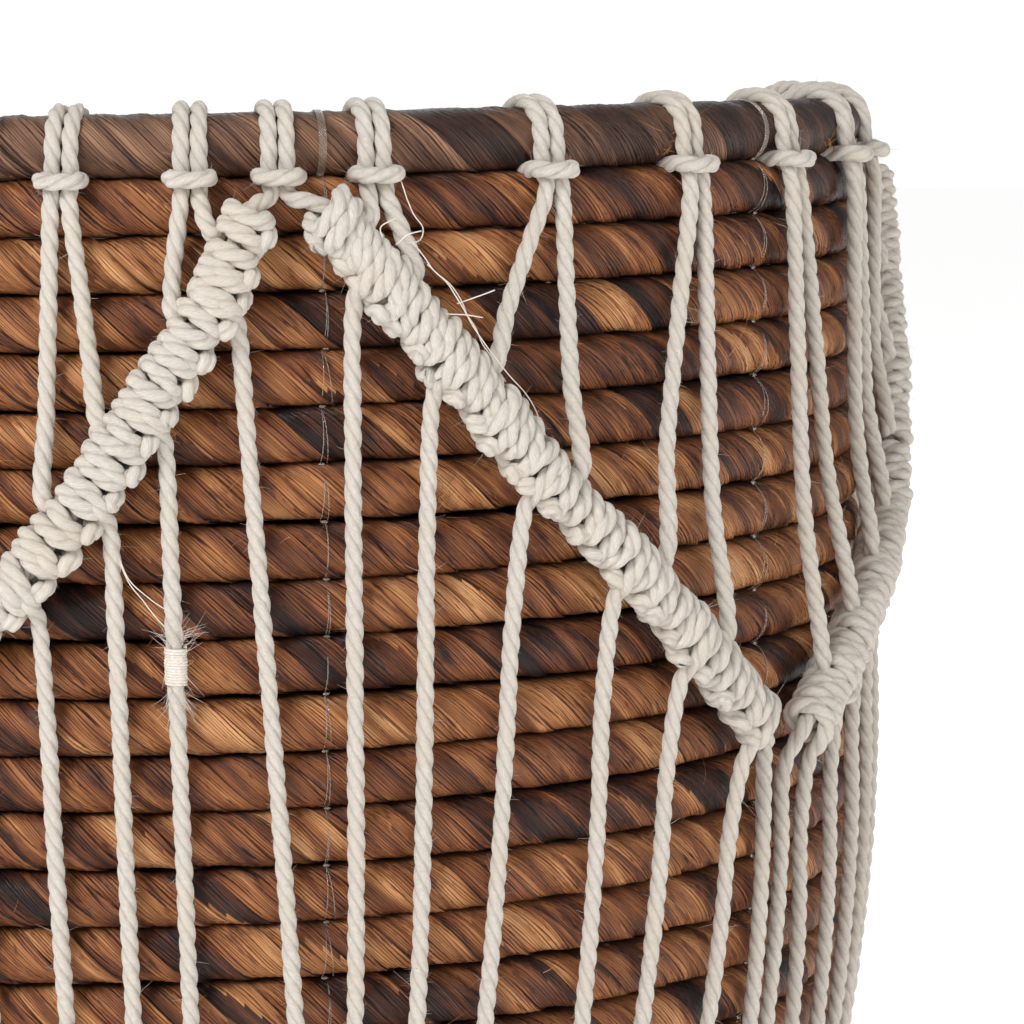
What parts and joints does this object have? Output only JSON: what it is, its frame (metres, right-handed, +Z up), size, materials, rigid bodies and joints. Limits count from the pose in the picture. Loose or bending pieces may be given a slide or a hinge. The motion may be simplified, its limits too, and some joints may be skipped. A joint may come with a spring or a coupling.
{
  "type": "planter basket with macrame net",
  "caption": "Round planter basket coiled from twisted leaf rope, wearing a zigzag net of knotted cotton cord looped over its rim, with a lift-out liner.",
  "frame": {"origin": "centre of the base, on the floor the basket stands on", "axes": "+Z up along the basket's axis, front towards -Y, +X to the right seen from the front"},
  "size_m": [0.387, 0.387, 0.34],
  "materials": {
    "leaf_rope": "satin dried leaf fibre",
    "rim_rope": "matt grey-brown dried leaf fibre",
    "cotton_cord": "matt fuzzy cotton",
    "clear_thread": "clear gloss",
    "liner_plastic": "matt"
  },
  "bodies": {
    "basket": {"base_coil": "leaf_rope", "wall_coil": "leaf_rope", "rim_coil": "rim_rope", "stitching": "clear_thread", "foot_cord": "cotton_cord", "cord_01": "cotton_cord", "cord_02": "cotton_cord", "cord_03": "cotton_cord", "cord_04": "cotton_cord", "cord_05": "cotton_cord", "cord_06": "cotton_cord", "cord_07": "cotton_cord", "cord_08": "cotton_cord", "cord_09": "cotton_cord", "cord_10": "cotton_cord", "cord_11": "cotton_cord", "cord_12": "cotton_cord", "cord_13": "cotton_cord", "cord_14": "cotton_cord", "cord_15": "cotton_cord", "cord_16": "cotton_cord", "cord_17": "cotton_cord", "cord_18": "cotton_cord", "cord_19": "cotton_cord", "cord_20": "cotton_cord", "cord_21": "cotton_cord", "cord_22": "cotton_cord", "cord_23": "cotton_cord", "cord_24": "cotton_cord", "cord_25": "cotton_cord", "cord_26": "cotton_cord", "cord_27": "cotton_cord", "cord_28": "cotton_cord", "cord_29": "cotton_cord", "cord_30": "cotton_cord", "cord_31": "cotton_cord", "cord_32": "cotton_cord"},
    "liner": {"liner": "liner_plastic"}
  },
  "joints": [
    {"name": "liner_lift", "type": "slide", "parent": "basket", "child": "liner", "axis": [0, 0, 1], "range_m": [0, 0.34]}
  ]
}
